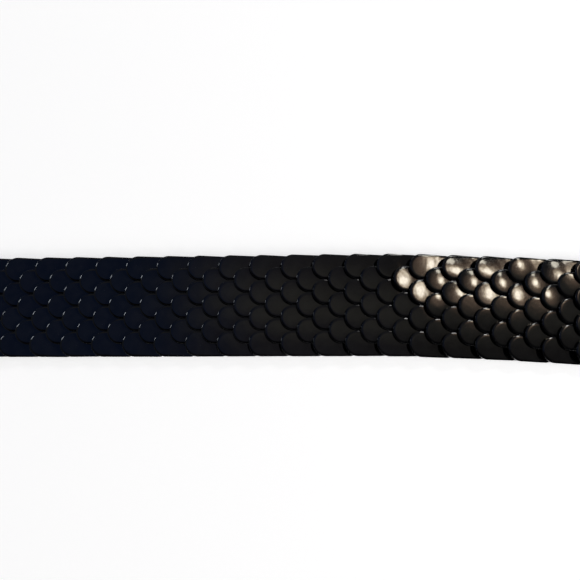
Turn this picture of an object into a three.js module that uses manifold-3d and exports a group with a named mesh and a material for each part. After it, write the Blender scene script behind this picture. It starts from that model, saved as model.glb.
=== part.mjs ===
// Fish-scale stretch belt, laid open on its back with the scales up.
// Millimetres. +X runs along the belt, +Y across it, +Z out of its face. The belt rests on z = 0.
//
// The scales sit in staggered rows. Each has a round tip that points to -X and covers the tails of its
// neighbours on that side, so the rows climb towards every tip like roof tiles.

import * as THREE from "three";
import { mergeVertices } from "three/addons/utils/BufferGeometryUtils.js";
import Module from "manifold-3d";

// Scale rows
const ROWS = 7;
const ROW_SPACING = 4.8;
const PITCH = 11.8;
const COLUMNS = 50;
const MIDDLE_TIP = -4.4;
const COLUMNS_BEFORE_MIDDLE = 25;

// One scale: its width is two row spacings, so the sides of every other row meet
const TIP_RADIUS = ROW_SPACING;
const TIP_SEGMENTS = 6;
const SCALE_LENGTH = 14;
const PLATE = 0.38;
const TIP_RISE = 3;
const DOME = 0.15;
const DOME_POWER = 2;
const LAST_SCALE_LENGTH = 12;

// Elastic band
const BAND_WIDTH = 37.4;
const BAND_THICKNESS = 1.3;
const BAND_EDGE = 0.35;
const SEAT_GAP = 0.25;

// The belt's slight sideways sweep, which leaves both ends parallel
const SWEEP_START = 22;
const SWEEP_LENGTH = 148;
const SWEEP_OFFSET = 5.5;

// Clasp plates
const CLASP_WIDTH = 40.2;
const CLASP_LENGTH = 16;
const CLASP_HEIGHT = 4.8;
const CLASP_BEVEL = 0.5;
const CLASP_FLOOR = 0.65;
const GRIP_DEPTH = 11;
const GRIP_CLEARANCE = 0.15;
const GRIPPED_BAND = 10;
const TIP_TO_CLASP = 1.5;
const TAILS_IN_CLASP = 2;
const LIFT_RUN = 18;

// Hook and eye
const REACH = 14;
const JOIN = 1;
const HOOK_WIDTH = 20;
const HOOK_LEG = 1.2;
const HOOK_RETURN = 1.1;
const HOOK_MOUTH = 5.5;
const HOOK_BEND_SEGMENTS = 6;
const EYE_WIDTH = 30;
const EYE_THICKNESS = 1.6;
const EYE_CORNER = 3;
const EYE_CORNER_SEGMENTS = 5;
const SLOT_WIDTH = 22;
const SLOT_LENGTH = 9;
const SLOT_START = 1.5;

// Stations along the belt, worked out from the sizes above
const HALF_PITCH = PITCH / 2;
const FIRST_TIP = MIDDLE_TIP - COLUMNS_BEFORE_MIDDLE * PITCH;
const LAST_HALF_COLUMN = 2 * (COLUMNS - 1);
const FIELD_END = FIRST_TIP + LAST_HALF_COLUMN * HALF_PITCH + LAST_SCALE_LENGTH;
const HOOK_CLASP_EDGE = FIRST_TIP - TIP_TO_CLASP;
const EYE_CLASP_EDGE = FIELD_END - TAILS_IN_CLASP;
const BELT_START = HOOK_CLASP_EDGE - CLASP_LENGTH - REACH;
const BELT_END = EYE_CLASP_EDGE + CLASP_LENGTH + REACH;
const BELT_MIDDLE = (BELT_START + BELT_END) / 2;

// Width of the scale field, which is a little wider than the band
const FIELD_WIDTH = (ROWS + 1) * ROW_SPACING;

// Heights
const LIFT = CLASP_FLOOR + GRIP_CLEARANCE;
const TILT = TIP_RISE / SCALE_LENGTH;
const FIELD_BASE = BAND_THICKNESS + SEAT_GAP;

const wasm = await Module();
wasm.setup();

// How far the belt stands up at a station: the clasp's floor is under the band at both ends.
function liftAt(along) {
  const inward = Math.min(along - HOOK_CLASP_EDGE, EYE_CLASP_EDGE - along);
  const share = THREE.MathUtils.clamp(inward / LIFT_RUN, 0, 1);
  return (LIFT * (1 + Math.cos(Math.PI * share))) / 2;
}

// The centre line's sideways place and slope at a station.
function sweepAt(along) {
  const share = THREE.MathUtils.clamp((along - SWEEP_START) / SWEEP_LENGTH, 0, 1);
  return {
    aside: (SWEEP_OFFSET * Math.cos(Math.PI * share)) / 2,
    slope: (-SWEEP_OFFSET * Math.PI * Math.sin(Math.PI * share)) / (2 * SWEEP_LENGTH),
  };
}

// A point given along, across and above the belt, as a point in space.
function onBelt(along, across, above) {
  const { aside, slope } = sweepAt(along);
  const turn = Math.atan(slope);
  return new THREE.Vector3(
    along - across * Math.sin(turn) - BELT_MIDDLE,
    aside + across * Math.cos(turn),
    above + liftAt(along),
  );
}

// Height of a scale's upper face over the field's base, at a distance behind its tip and beside its middle.
function scaleHeight(behind, beside) {
  const slope = TILT * Math.max(0, SCALE_LENGTH - behind);
  const inHead = behind < TIP_RADIUS;
  const fromCrown = inHead ? Math.hypot(TIP_RADIUS - behind, beside) : Math.abs(beside);
  const tail = inHead ? 0 : (behind - TIP_RADIUS) / (SCALE_LENGTH - TIP_RADIUS);
  const crown = DOME * Math.max(0, 1 - tail);
  return PLATE + slope + crown * Math.max(0, 1 - (fromCrown / TIP_RADIUS) ** DOME_POWER);
}

// Places and heights that differ by less than one of these steps are the same vertex.
const STEPS_PER_MM = 1000;
const inSteps = (length) => Math.round(length * STEPS_PER_MM);

// A place on the belt seen from above.
const place = (along, across) => ({ along, across });
const placeKey = ({ along, across }) => `${inSteps(along)}:${inSteps(across)}`;

const tipAt = (half) => FIRST_TIP + half * HALF_PITCH;
const middleOf = (row) => ((ROWS - 1) / 2 - row) * ROW_SPACING;

// A scale's round tip as places, from its +Y side round the tip to its -Y side.
function tipArc(row, half) {
  const arc = [];
  for (let step = 0; step <= TIP_SEGMENTS; step += 1) {
    const angle = (Math.PI * step) / TIP_SEGMENTS;
    arc.push(
      place(
        tipAt(half) + TIP_RADIUS * (1 - Math.sin(angle)),
        middleOf(row) + TIP_RADIUS * Math.cos(angle),
      ),
    );
  }
  return arc;
}

const firstHalf = (arc) => arc.slice(0, TIP_SEGMENTS / 2 + 1);
const secondHalf = (arc) => arc.slice(TIP_SEGMENTS / 2);

// The places of a scale's rim that its neighbours leave in sight, counter-clockwise from its -Y side
// to its +Y side, without its own tip arc.
function coveredEdge(row, half) {
  const low = row < ROWS - 1 ? firstHalf(tipArc(row + 1, half + 1)).reverse() : [];
  const high = row > 0 ? secondHalf(tipArc(row - 1, half + 1)).reverse() : [];
  if (row === 0) return [...low, ...firstHalf(tipArc(row, half + 2)).reverse()];
  if (row === ROWS - 1) return [...secondHalf(tipArc(row, half + 2)).reverse(), ...high];
  return [...low, ...high.slice(1)];
}

// The straight end of a scale in the last column, which runs under the clasp.
function cutEdge(row) {
  return [
    place(FIELD_END, middleOf(row) - TIP_RADIUS),
    place(FIELD_END, middleOf(row) + TIP_RADIUS),
  ];
}

// The visible part of one scale: its rim, and fans of triangles that cover it.
function scaleTile(row, half) {
  const arc = tipArc(row, half);
  const last = half === LAST_HALF_COLUMN;
  const beyond = last ? cutEdge(row) : coveredEdge(row, half);
  const rim = [...arc, ...beyond];
  const crown = place(tipAt(half) + TIP_RADIUS, middleOf(row));
  const quarter = TIP_SEGMENTS / 2;
  if (last || (row > 0 && row < ROWS - 1)) {
    return { row, half, rim, fans: [{ hub: crown, ring: [...rim, rim[0]] }] };
  }
  // A scale on the belt's edge has a long outer side, which takes a second fan from its shoulder.
  const outer = beyond.slice(row === 0 ? quarter : 0, row === 0 ? undefined : quarter + 2);
  const head = row === 0 ? beyond.slice(0, quarter + 1) : beyond.slice(quarter + 1);
  const shoulder = row === 0 ? arc[0] : arc[TIP_SEGMENTS];
  const ring = [...arc, ...head, arc[0]];
  return { row, half, rim, fans: [{ hub: crown, ring }, { hub: shoulder, ring: outer }] };
}

// Collects the triangles of the scale field, with one vertex for each place and height.
class Relief {
  constructor() {
    this.points = [];
    this.ids = new Map();
    this.triangles = [];
    this.heights = new Map();
    this.edges = new Map();
  }

  vertex(where, height) {
    const key = `${placeKey(where)}:${inSteps(height)}`;
    if (!this.ids.has(key)) {
      this.ids.set(key, this.points.length);
      this.points.push(onBelt(where.along, where.across, FIELD_BASE + height));
    }
    return this.ids.get(key);
  }

  triangle(...corners) {
    this.triangles.push(...corners);
  }

  // Covers the strip between two chains of vertices. Seen from outside with both chains running up, the
  // second chain is to the right of the first.
  stitch(first, second) {
    let i = 0;
    let j = 0;
    while (i < first.length - 1 || j < second.length - 1) {
      const nextFirst = (i + 1) / Math.max(1, first.length - 1);
      const nextSecond = (j + 1) / Math.max(1, second.length - 1);
      const stepFirst = j >= second.length - 1 || (i < first.length - 1 && nextFirst <= nextSecond);
      if (stepFirst) {
        this.triangle(first[i], second[j], first[i + 1]);
        i += 1;
      } else {
        this.triangle(first[i], second[j], second[j + 1]);
        j += 1;
      }
    }
  }

  // Adds one scale's upper face and notes its rim, so that the steps beside it can be closed.
  addTile(tile) {
    const heightAt = (where) =>
      scaleHeight(where.along - tipAt(tile.half), where.across - middleOf(tile.row));
    for (const { hub, ring } of tile.fans) {
      const centre = this.vertex(hub, heightAt(hub));
      for (let n = 0; n + 1 < ring.length; n += 1) {
        const from = this.vertex(ring[n], heightAt(ring[n]));
        const to = this.vertex(ring[n + 1], heightAt(ring[n + 1]));
        if (from !== centre && to !== centre) this.triangle(centre, from, to);
      }
    }
    tile.rim.forEach((from, n) => {
      const to = tile.rim[(n + 1) % tile.rim.length];
      this.noteHeight(from, heightAt(from));
      this.noteHeight(to, heightAt(to));
      const key = [placeKey(from), placeKey(to)].sort().join("/");
      if (!this.edges.has(key)) this.edges.set(key, []);
      this.edges.get(key).push({ from, to, start: heightAt(from), end: heightAt(to) });
    });
  }

  noteHeight(where, height) {
    const key = placeKey(where);
    if (!this.heights.has(key)) this.heights.set(key, new Set([0]));
    this.heights.get(key).add(inSteps(height));
  }

  // The vertices over one place from a low height to a high one.
  column(where, low, high) {
    const steps = [...this.heights.get(placeKey(where))];
    const inside = steps.filter((step) => step >= inSteps(low) && step <= inSteps(high));
    return inside.sort((a, b) => a - b).map((step) => this.vertex(where, step / STEPS_PER_MM));
  }

  // Closes the step along each rim edge, down to the lower neighbour or to the field's base.
  closeSteps() {
    for (const sides of this.edges.values()) {
      const [upper, lower] = sides.sort((a, b) => b.start + b.end - (a.start + a.end));
      const lowStart = lower ? lower.end : 0;
      const lowEnd = lower ? lower.start : 0;
      this.stitch(
        this.column(upper.from, lowStart, upper.start),
        this.column(upper.to, lowEnd, upper.end),
      );
    }
  }

  // The field's flat underside, in strips across the belt from one column of scales to the next.
  closeBase() {
    const base = (where) => this.vertex(where, 0);
    const acrossFirst = [];
    const acrossEnd = [];
    for (let row = 0; row < ROWS; row += 2) {
      acrossFirst.push(tipArc(row, 0)[0]);
      acrossEnd.push(cutEdge(row)[1]);
      const arc = tipArc(row, 0).map(base);
      for (let n = 1; n + 1 < arc.length; n += 1) this.triangle(arc[0], arc[n + 1], arc[n]);
    }
    acrossFirst.push(tipArc(ROWS - 1, 0)[TIP_SEGMENTS]);
    acrossEnd.push(cutEdge(ROWS - 1)[0]);
    let before = acrossFirst.map(base);
    for (let half = 2; half <= LAST_HALF_COLUMN; half += 2) {
      const here = [tipArc(0, half)[0], tipArc(ROWS - 1, half)[TIP_SEGMENTS]].map(base);
      this.stitch(before, here);
      before = here;
    }
    this.stitch(before, acrossEnd.map(base));
  }

  geometry() {
    const made = new THREE.BufferGeometry().setFromPoints(this.points);
    made.setIndex(this.triangles);
    made.computeVertexNormals();
    return made;
  }
}

// All the scales as one body, open to nothing: upper faces, steps and a flat base.
function scaleFieldGeometry() {
  const relief = new Relief();
  for (let row = 0; row < ROWS; row += 1) {
    for (let half = row % 2; half <= LAST_HALF_COLUMN; half += 2) {
      relief.addTile(scaleTile(row, half));
    }
  }
  relief.closeSteps();
  relief.closeBase();
  return relief.geometry();
}

// The band: one flat section with eased edges, carried through a station at every column of scales.
function elasticBandGeometry() {
  const stations = [HOOK_CLASP_EDGE - GRIPPED_BAND, HOOK_CLASP_EDGE];
  for (let half = 0; half <= LAST_HALF_COLUMN; half += 2) stations.push(tipAt(half) + TIP_RADIUS);
  stations.push(EYE_CLASP_EDGE, EYE_CLASP_EDGE + GRIPPED_BAND);

  const side = BAND_WIDTH / 2;
  const section = new THREE.Shape();
  section.moveTo(-side + BAND_EDGE, 0);
  section.lineTo(side - BAND_EDGE, 0);
  section.lineTo(side, BAND_EDGE);
  section.lineTo(side, BAND_THICKNESS - BAND_EDGE);
  section.lineTo(side - BAND_EDGE, BAND_THICKNESS);
  section.lineTo(-side + BAND_EDGE, BAND_THICKNESS);
  section.lineTo(-side, BAND_THICKNESS - BAND_EDGE);
  section.lineTo(-side, BAND_EDGE);
  section.closePath();

  // The extrusion has one step for each span, so a vertex's depth is the number of its station.
  const spans = stations.length - 1;
  const band = new THREE.ExtrudeGeometry(section, { depth: spans, steps: spans, bevelEnabled: false });
  const spots = band.getAttribute("position");
  for (let n = 0; n < spots.count; n += 1) {
    const station = stations[Math.round(spots.getZ(n))];
    const point = onBelt(station, spots.getX(n), spots.getY(n));
    spots.setXYZ(n, point.x, point.y, point.z);
  }
  band.computeVertexNormals();
  return band;
}

// A closed three.js geometry as a solid that can be joined and cut.
function solidOf(geometry) {
  const bare = geometry.clone();
  bare.deleteAttribute("normal");
  bare.deleteAttribute("uv");
  const merged = mergeVertices(bare, 1e-4);
  return new wasm.Manifold(
    new wasm.Mesh({
      numProp: 3,
      vertProperties: merged.getAttribute("position").array,
      triVerts: new Uint32Array(merged.index.array),
    }),
  );
}

// The solid's surface as a geometry again.
function geometryOf(solid) {
  const mesh = solid.getMesh();
  const made = new THREE.BufferGeometry();
  made.setAttribute("position", new THREE.BufferAttribute(mesh.vertProperties, 3));
  made.setIndex([...mesh.triVerts]);
  const flat = made.toNonIndexed();
  flat.computeVertexNormals();
  return flat;
}

// A block between two corners.
function block(low, high) {
  const size = high.clone().sub(low);
  const middle = high.clone().add(low).multiplyScalar(0.5);
  return solidOf(new THREE.BoxGeometry(size.x, size.y, size.z).translate(middle.x, middle.y, middle.z));
}

// An outline in the X-Z plane, carried across the belt to the given width.
function acrossBelt(outline, width) {
  const made = new THREE.ExtrudeGeometry(outline, { depth: width, bevelEnabled: false });
  return made.rotateX(Math.PI / 2).translate(0, width / 2, 0);
}

// The plate that both clasp halves share. The band goes into its pocket from +X, and it ends at x = 0.
function claspPlate(pocketHeight) {
  const outline = new THREE.Shape();
  outline.moveTo(0, 0);
  outline.lineTo(CLASP_LENGTH, 0);
  outline.lineTo(CLASP_LENGTH, CLASP_HEIGHT - CLASP_BEVEL);
  outline.lineTo(CLASP_LENGTH - CLASP_BEVEL, CLASP_HEIGHT);
  outline.lineTo(CLASP_BEVEL, CLASP_HEIGHT);
  outline.lineTo(0, CLASP_HEIGHT - CLASP_BEVEL);
  outline.closePath();
  const side = FIELD_WIDTH / 2 + GRIP_CLEARANCE;
  const pocket = block(
    new THREE.Vector3(CLASP_LENGTH - GRIP_DEPTH, -side, CLASP_FLOOR),
    new THREE.Vector3(CLASP_LENGTH + JOIN, side, CLASP_FLOOR + pocketHeight),
  );
  return solidOf(acrossBelt(outline, CLASP_WIDTH)).subtract(pocket);
}

// The hook: a tongue level with the plate's top that turns down and back, leaving a mouth at its root.
function claspHookGeometry() {
  const outer = CLASP_HEIGHT / 2;
  const gapHigh = CLASP_HEIGHT - HOOK_LEG;
  const inner = (gapHigh - HOOK_RETURN) / 2;
  const innerMiddle = HOOK_RETURN + inner;
  const bend = -REACH + outer;
  const outline = new THREE.Shape();
  outline.moveTo(JOIN, gapHigh);
  outline.lineTo(JOIN, CLASP_HEIGHT);
  outline.lineTo(bend, CLASP_HEIGHT);
  for (let step = 1; step <= HOOK_BEND_SEGMENTS; step += 1) {
    const angle = Math.PI / 2 + (Math.PI * step) / HOOK_BEND_SEGMENTS;
    outline.lineTo(bend + outer * Math.cos(angle), outer + outer * Math.sin(angle));
  }
  outline.lineTo(-HOOK_MOUTH, 0);
  outline.lineTo(-HOOK_MOUTH, HOOK_RETURN);
  for (let step = 0; step <= HOOK_BEND_SEGMENTS; step += 1) {
    const angle = (3 * Math.PI) / 2 - (Math.PI * step) / HOOK_BEND_SEGMENTS;
    outline.lineTo(bend + inner * Math.cos(angle), innerMiddle + inner * Math.sin(angle));
  }
  outline.closePath();
  const pocketHeight = BAND_THICKNESS + 2 * GRIP_CLEARANCE;
  return geometryOf(claspPlate(pocketHeight).add(solidOf(acrossBelt(outline, HOOK_WIDTH))));
}

// The eye: a flat frame level with the hook's gap, with a slot that the hook passes through.
function claspEyeGeometry() {
  const side = EYE_WIDTH / 2;
  const outline = new THREE.Shape();
  outline.moveTo(JOIN, -side);
  outline.lineTo(JOIN, side);
  outline.absarc(-REACH + EYE_CORNER, side - EYE_CORNER, EYE_CORNER, Math.PI / 2, Math.PI, false);
  outline.absarc(-REACH + EYE_CORNER, -side + EYE_CORNER, EYE_CORNER, Math.PI, 1.5 * Math.PI, false);
  outline.closePath();
  const slotStart = -SLOT_START - SLOT_LENGTH;
  const slot = new THREE.Path();
  slot.moveTo(slotStart, -SLOT_WIDTH / 2);
  slot.lineTo(slotStart, SLOT_WIDTH / 2);
  slot.lineTo(slotStart + SLOT_LENGTH, SLOT_WIDTH / 2);
  slot.lineTo(slotStart + SLOT_LENGTH, -SLOT_WIDTH / 2);
  slot.closePath();
  outline.holes.push(slot);
  const gapMiddle = (HOOK_RETURN + CLASP_HEIGHT - HOOK_LEG) / 2;
  const frame = new THREE.ExtrudeGeometry(outline, {
    depth: EYE_THICKNESS,
    bevelEnabled: false,
    curveSegments: EYE_CORNER_SEGMENTS,
  }).translate(0, 0, gapMiddle - EYE_THICKNESS / 2);
  const tails = scaleHeight(LAST_SCALE_LENGTH - TAILS_IN_CLASP, 0);
  const pocketHeight = BAND_THICKNESS + SEAT_GAP + tails + 2 * GRIP_CLEARANCE;
  return geometryOf(claspPlate(pocketHeight).add(solidOf(frame)));
}

// A named sub-part with its own material.
function piece(name, geometry, look) {
  const mesh = new THREE.Mesh(geometry, new THREE.MeshStandardMaterial(look));
  mesh.name = name;
  return mesh;
}

const belt = new THREE.Group();

belt.add(
  piece("elastic_band", elasticBandGeometry(), { color: 0x101012, roughness: 0.95, metalness: 0 }),
);
belt.add(
  piece("scale_field", scaleFieldGeometry(), { color: 0x15161a, roughness: 0.2, metalness: 0.8 }),
);

const claspLook = { color: 0x18191c, roughness: 0.25, metalness: 0.9 };

const hook = piece("clasp_hook", claspHookGeometry(), claspLook);
const hookMiddle = onBelt(BELT_START, 0, 0);
hook.position.set(hookMiddle.x + REACH, hookMiddle.y, 0);
belt.add(hook);

// The eye's plate is turned half round, so that its pocket faces the band from the other end.
const eye = piece("clasp_eye", claspEyeGeometry(), claspLook);
const eyeMiddle = onBelt(BELT_END, 0, 0);
eye.position.set(eyeMiddle.x - REACH, eyeMiddle.y, 0);
eye.rotation.z = Math.PI;
belt.add(eye);

export default belt;
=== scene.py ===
"""Looks of the fish-scale stretch belt: enamelled scales, woven elastic, clasp halves and studio."""

import logging
import math
from dataclasses import dataclass, field
from enum import Enum
from typing import Any, Sequence

import bpy
import numpy as np
from mathutils import Matrix, Vector


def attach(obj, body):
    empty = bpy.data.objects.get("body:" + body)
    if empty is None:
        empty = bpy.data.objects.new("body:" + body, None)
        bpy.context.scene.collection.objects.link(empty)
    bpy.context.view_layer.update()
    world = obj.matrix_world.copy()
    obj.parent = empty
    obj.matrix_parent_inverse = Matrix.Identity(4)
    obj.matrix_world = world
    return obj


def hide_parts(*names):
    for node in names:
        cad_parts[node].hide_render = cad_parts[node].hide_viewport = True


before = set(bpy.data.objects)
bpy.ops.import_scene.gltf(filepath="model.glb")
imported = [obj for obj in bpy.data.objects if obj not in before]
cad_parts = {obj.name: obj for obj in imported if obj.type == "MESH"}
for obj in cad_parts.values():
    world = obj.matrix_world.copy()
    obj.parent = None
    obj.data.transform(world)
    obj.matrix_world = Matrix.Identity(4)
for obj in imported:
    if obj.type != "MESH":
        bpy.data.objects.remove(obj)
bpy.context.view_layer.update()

MM = 0.001

log = logging.getLogger("stretch_belt")

Colour = tuple[float, float, float]
Span = tuple[float, float]
Points = np.ndarray

# Angles in degrees at which a rounded edge is cut.
ROUND_STEPS = (0.0, 22.5, 45.0, 67.5, 90.0)
# Where most values of a noise lie.
NOISE_SPAN: Span = (0.3, 0.7)
# Angle in degrees from which an edge of the cast clasp is drawn sharp.
CAST_SHARP_FROM = 38.0


class Slot(Enum):
    """Material slots of the record."""

    ELASTIC = "black_elastic"
    SCALES = "black_enamel"
    CLASP = "clasp_enamel"


# Mesh making


@dataclass
class Skin:
    """A surface as plain numbers, in millimetres.

    Attributes:
        points: One row of x, y and z for each vertex.
        faces: Vertex numbers of each face.
        rim: For each vertex, how much it lies on a worn edge, from 0 to 1.
    """

    points: Points
    faces: list[tuple[int, ...]]
    rim: Points

    def merged(self, step: float = 1e-4) -> "Skin":
        """Joins the vertices that share a place and drops the faces that vanish.

        Args:
            step: Distance below which two vertices are one.

        Returns:
            The joined surface.
        """
        keys = np.round(self.points / step).astype(np.int64)
        _, first, ids = np.unique(keys, axis=0, return_index=True, return_inverse=True)
        ids = ids.reshape(-1)
        faces = []
        for face in self.faces:
            corners: list[int] = []
            for corner in face:
                number = int(ids[corner])
                if number not in corners:
                    corners.append(number)
            if len(corners) > 2:
                faces.append(tuple(corners))
        return Skin(self.points[first], faces, self.rim[first])

    def outward(self) -> "Skin":
        """Turns the faces round where they enclose a negative volume.

        Returns:
            The surface with its faces to the outside.
        """
        volume = 0.0
        for face in self.faces:
            a = self.points[face[0]]
            for n in range(1, len(face) - 1):
                volume += float(np.dot(a, np.cross(self.points[face[n]], self.points[face[n + 1]])))
        if volume >= 0:
            return self
        return Skin(self.points, [face[::-1] for face in self.faces], self.rim)


def strip_faces(
    size: int,
    count: int,
    closed_along: bool = False,
    capped: bool = True,
) -> list[tuple[int, ...]]:
    """Joins loops of equal length that follow one another.

    Args:
        size: Points in each loop.
        count: Number of loops.
        closed_along: Whether the last loop joins the first.
        capped: Whether the first and the last loop are filled with a face.

    Returns:
        Vertex numbers of each face.
    """
    faces: list[tuple[int, ...]] = []
    for row in range(count if closed_along else count - 1):
        here = row * size
        there = ((row + 1) % count) * size
        for n in range(size):
            m = (n + 1) % size
            faces.append((here + n, here + m, there + m, there + n))
    if capped and not closed_along:
        faces.append(tuple(range(size))[::-1])
        faces.append(tuple((count - 1) * size + n for n in range(size)))
    return faces


def loft(
    loops: Sequence[Points],
    rim: Sequence[float],
    closed_along: bool = False,
    capped: bool = True,
) -> Skin:
    """Makes one surface over loops of equal length.

    Args:
        loops: Closed loops of points, each with as many points as the others.
        rim: Edge wear of each loop.
        closed_along: Whether the last loop joins the first.
        capped: Whether the first and the last loop are filled with a face.

    Returns:
        The surface, facing out.
    """
    size = len(loops[0])
    faces = strip_faces(size, len(loops), closed_along, capped)
    return Skin(np.concatenate(loops), faces, np.repeat(np.array(rim), size)).merged().outward()


def rounding(radius: float, angles: Sequence[float]) -> list[tuple[float, float]]:
    """Places on a quarter round between two sides at right angles.

    Args:
        radius: Its radius.
        angles: Angles from its start, in degrees.

    Returns:
        How far each place lies inside the first side, and how far short of the second.
    """
    turns = [math.radians(angle) for angle in angles]
    return [(radius * (1 - math.cos(turn)), radius * (1 - math.sin(turn))) for turn in turns]


def object_of(
    name: str,
    skin: Skin,
    sharp_from: float | None,
    floats: dict[str, Points],
) -> bpy.types.Object:
    """Makes a shown object from a surface.

    Args:
        name: Name of the piece.
        skin: Its surface, in millimetres.
        sharp_from: Angle in degrees from which an edge is drawn sharp, or None where none is.
        floats: More numbers for each vertex, by name.

    Returns:
        The new object.
    """
    mesh = bpy.data.meshes.new(name)
    mesh.from_pydata((skin.points * MM).tolist(), [], skin.faces)
    mesh.polygons.foreach_set("use_smooth", [True] * len(mesh.polygons))
    for key, values in {"rim": skin.rim, **floats}.items():
        layer = mesh.attributes.new(key, "FLOAT", "POINT")
        layer.data.foreach_set("value", np.asarray(values, dtype=np.float32))
    mesh.update()
    if sharp_from is not None:
        mesh.set_sharp_from_angle(angle=math.radians(sharp_from))
    made = bpy.data.objects.new(name, mesh)
    bpy.context.scene.collection.objects.link(made)
    return made


def joined(skins: Sequence[Skin]) -> Skin:
    """Puts several surfaces into one list, each left closed as it is.

    Args:
        skins: The surfaces.

    Returns:
        One surface that holds them all.
    """
    points, faces, rims, start = [], [], [], 0
    for skin in skins:
        points.append(skin.points)
        rims.append(skin.rim)
        faces.extend(tuple(corner + start for corner in face) for face in skin.faces)
        start += len(skin.points)
    return Skin(np.concatenate(points), faces, np.concatenate(rims))


def rounded_rectangle(width: float, height: float, radius: float, segments: int, split: int) -> Points:
    """A rounded rectangle round its own middle.

    Args:
        width: Size along the first direction.
        height: Size along the second direction.
        radius: Corner radius.
        segments: Straight pieces in each corner.
        split: Straight pieces in each long side.

    Returns:
        Points of the loop, two numbers each, counter-clockwise.
    """
    corners = ((1, 1, 0.0), (-1, 1, 90.0), (-1, -1, 180.0), (1, -1, 270.0))
    arcs = []
    for sign_x, sign_y, start in corners:
        middle = np.array([sign_x * (width / 2 - radius), sign_y * (height / 2 - radius)])
        angles = np.radians(start + np.linspace(0, 90, segments + 1))
        arcs.append(middle + radius * np.stack([np.cos(angles), np.sin(angles)], axis=1))
    loop: list[Points] = []
    for n, arc in enumerate(arcs):
        loop.extend(arc)
        following = arcs[(n + 1) % 4][0]
        for step in range(1, split if n % 2 == 0 else 1):
            loop.append(arc[-1] + (following - arc[-1]) * step / split)
    return np.array(loop)


# Materials


class NodeDesk:
    """Lays out the nodes of one material or world."""

    def __init__(self, tree: bpy.types.NodeTree) -> None:
        """Takes the tree and empties it."""
        self.tree = tree
        tree.nodes.clear()

    def add(self, kind: str, settings: dict[str, Any] | None = None, **inputs: Any) -> bpy.types.Node:
        """Adds a node.

        Args:
            kind: Its type, without the leading ShaderNode.
            settings: Properties of the node itself.
            **inputs: Sockets by name, with spaces written as underscores, or by number as in_0. A value is
                a constant or another node's output.

        Returns:
            The new node.
        """
        node = self.tree.nodes.new(f"ShaderNode{kind}")
        for key, value in (settings or {}).items():
            setattr(node, key, value)
        for key, value in inputs.items():
            if key.startswith("in_"):
                socket = node.inputs[int(key[3:])]
            else:
                socket = node.inputs[key.replace("_", " ")]
            if isinstance(value, bpy.types.NodeSocket):
                self.tree.links.new(value, socket)
            elif isinstance(value, tuple) and len(value) == 3 and socket.type == "RGBA":
                socket.default_value = (*value, 1.0)
            else:
                socket.default_value = value
        return node

    def math(self, operation: str, *values: Any) -> bpy.types.NodeSocket:
        """Works out one number.

        Args:
            operation: Name of the operation, such as MULTIPLY.
            *values: Constants or outputs, in order.

        Returns:
            The result.
        """
        inputs = {f"in_{n}": value for n, value in enumerate(values)}
        return self.add("Math", {"operation": operation}, **inputs).outputs[0]

    def ranged(self, value: bpy.types.NodeSocket, low: float, high: float, to_low: float = 0.0,
               to_high: float = 1.0) -> bpy.types.NodeSocket:
        """Maps one range on another, held and eased at both ends.

        Args:
            value: The number to map.
            low: Start of the range that it comes from.
            high: End of that range.
            to_low: Result at the start.
            to_high: Result at the end.

        Returns:
            The mapped number.
        """
        settings = {"interpolation_type": "SMOOTHSTEP", "clamp": True}
        node = self.add("MapRange", settings, in_0=value, in_1=low, in_2=high, in_3=to_low, in_4=to_high)
        return node.outputs[0]

    def falling(self, value: bpy.types.NodeSocket, low: float, high: float) -> bpy.types.NodeSocket:
        """Goes from 1 to 0 over a range."""
        return self.ranged(value, low, high, 1.0, 0.0)

    def attribute(self, name: str) -> bpy.types.NodeSocket:
        """Reads a number that each vertex carries."""
        return self.add("Attribute", {"attribute_name": name}).outputs["Fac"]

    def noise(self, place: bpy.types.NodeSocket, grain: float, detail: float,
              rough: float = 0.5) -> bpy.types.NodeSocket:
        """Gives noise of a real grain.

        Args:
            place: Coordinates in metres.
            grain: Size of the grain in millimetres.
            detail: Finer octaves added.
            rough: Their strength.

        Returns:
            The noise, round 0.5.
        """
        node = self.add("TexNoise", Vector=place, Scale=1.0 / (grain * MM), Detail=detail, Roughness=rough)
        return node.outputs["Fac"]

    def mixed(self, share: Any, first: Any, second: Any) -> bpy.types.NodeSocket:
        """Mixes two colours, which are sockets 6 and 7 of the node and give its output 2.

        Args:
            share: Part of the second colour.
            first: Colour at 0.
            second: Colour at 1.

        Returns:
            The mixed colour.
        """
        return self.add("Mix", {"data_type": "RGBA"}, in_0=share, in_6=first, in_7=second).outputs[2]

    def bump(self, height: bpy.types.NodeSocket, strength: float = 1.0) -> bpy.types.NodeSocket:
        """Turns a height in metres into a surface direction."""
        return self.add("Bump", Strength=strength, Distance=1.0, Height=height).outputs[0]


@dataclass(frozen=True)
class Finish:
    """A finish that is made into a material.

    Attributes:
        name: Name of the material.
    """

    name: str

    def shader(self, desk: NodeDesk) -> bpy.types.NodeSocket:
        """Lays out the finish.

        Args:
            desk: Desk for the material's nodes.

        Returns:
            The shader.
        """
        raise NotImplementedError

    def material(self) -> bpy.types.Material:
        """Makes the material.

        Returns:
            The new material.
        """
        made = bpy.data.materials.new(self.name)
        made.use_nodes = True
        desk = NodeDesk(made.node_tree)
        desk.add("OutputMaterial", Surface=self.shader(desk))
        return made


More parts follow.
